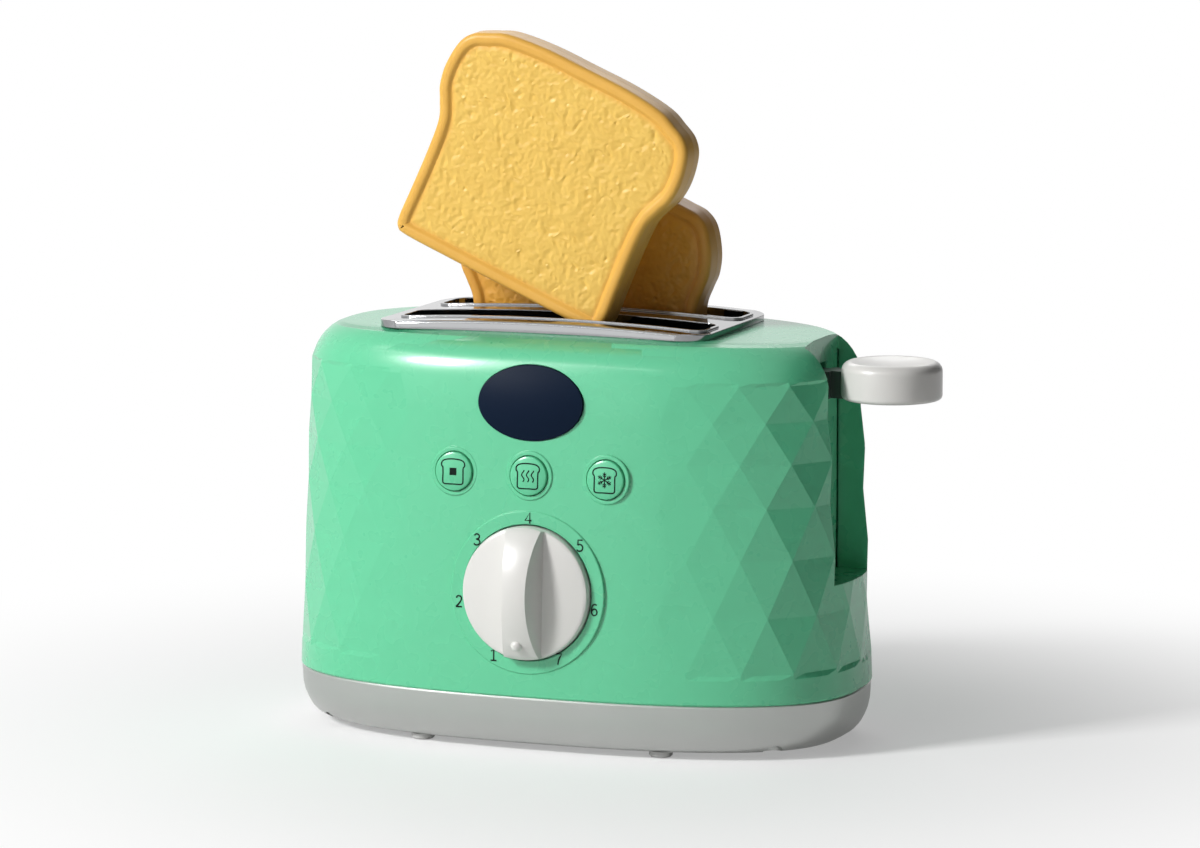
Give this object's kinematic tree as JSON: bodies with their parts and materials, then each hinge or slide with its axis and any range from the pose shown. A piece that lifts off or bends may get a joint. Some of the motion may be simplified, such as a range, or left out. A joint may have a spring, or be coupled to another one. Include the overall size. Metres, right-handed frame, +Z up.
{
  "type": "toy toaster",
  "caption": "Mint toy pop-up toaster with a faceted housing, chrome slot plate, silver base, turning dial knob, push buttons, end lever and two toy slices of bread.",
  "frame": {"origin": "centre of the bounding box at the underside of the feet", "axes": "+X along the length towards the lever, -Y out of the side with the dial, +Z up"},
  "size_m": [0.2301, 0.1236, 0.2428],
  "materials": {
    "mint_shell": "gloss",
    "silver_base": "satin",
    "rubber": "matte",
    "zinc": "satin",
    "chrome_plate": "polished",
    "badge_navy": "gloss",
    "dark_plastic": "satin",
    "warm_plastic": "satin",
    "arm_grey": "satin",
    "brass_can": "satin",
    "button_mint": "gloss",
    "toast": "gloss"
  },
  "bodies": {
    "housing": {"body_shell": "mint_shell", "base_tray": "silver_base", "feet": "rubber", "base_screws": "zinc", "slot_plate": "chrome_plate", "badge": "badge_navy", "inner_frame": "dark_plastic", "frame_screws": "zinc", "guide_rods": "zinc", "latch_pin": "zinc", "timer_case": "brass_can", "timer_cover": "brass_can", "timer_screws": "zinc", "button_plate": "warm_plastic", "button_screws": "zinc"},
    "lever": {"carriage": "warm_plastic", "rack_front": "zinc", "rack_back": "zinc", "rack_screws": "zinc", "lever_arm": "arm_grey", "arm_screw": "zinc", "lever_paddle": "warm_plastic", "lift_springs": "zinc"},
    "latch": {"latch_hook": "zinc"},
    "knob": {"timer_knob": "warm_plastic", "timer_spindle": "zinc"},
    "stop": {"stop_button": "button_mint"},
    "reheat": {"reheat_button": "button_mint"},
    "defrost": {"defrost_button": "button_mint"},
    "slice_front": {"toast_front_face": "toast", "toast_front_rear": "toast"},
    "slice_back": {"toast_back_face": "toast", "toast_back_rear": "toast"}
  },
  "joints": [
    {"name": "lever_slide", "type": "slide", "parent": "housing", "child": "lever", "axis": [0, 0, 1], "range_m": [-0.06, 0], "stiffness_N_per_m": 70, "springref_m": 0.08, "deforming": ["lift_springs"]},
    {"name": "slice_front_lift", "type": "slide", "parent": "housing", "child": "slice_front", "axis": [0.4067, 0, 0.9135], "range_m": [0, 0.06]},
    {"name": "slice_back_lift", "type": "slide", "parent": "lever", "child": "slice_back", "axis": [0, 0, 1], "range_m": [0, 0.095]},
    {"name": "knob_turn", "type": "hinge", "parent": "housing", "child": "knob", "pos_m": [-0.0138, -0.04847, 0.0555], "axis": [0, 0.9986, -0.052], "range_deg": [0, 331], "stiffness_Nm_per_rad": 0.004, "springref_deg": -22.92},
    {"name": "latch_swing", "type": "hinge", "parent": "housing", "child": "latch", "pos_m": [0.0607, 0.00577, 0.03], "axis": [0, -1, 0], "range_deg": [0, 6], "stiffness_Nm_per_rad": 0.05, "springref_deg": -5.73},
    {"name": "stop_press", "type": "slide", "parent": "housing", "child": "stop", "axis": [0, 0.9986, -0.052], "range_m": [0, 0.0018], "stiffness_N_per_m": 400, "springref_m": -0.001},
    {"name": "reheat_press", "type": "slide", "parent": "housing", "child": "reheat", "axis": [0, 0.9986, -0.052], "range_m": [0, 0.0018], "stiffness_N_per_m": 400, "springref_m": -0.001},
    {"name": "defrost_press", "type": "slide", "parent": "housing", "child": "defrost", "axis": [0, 0.9986, -0.052], "range_m": [0, 0.0018], "stiffness_N_per_m": 400, "springref_m": -0.001}
  ]
}
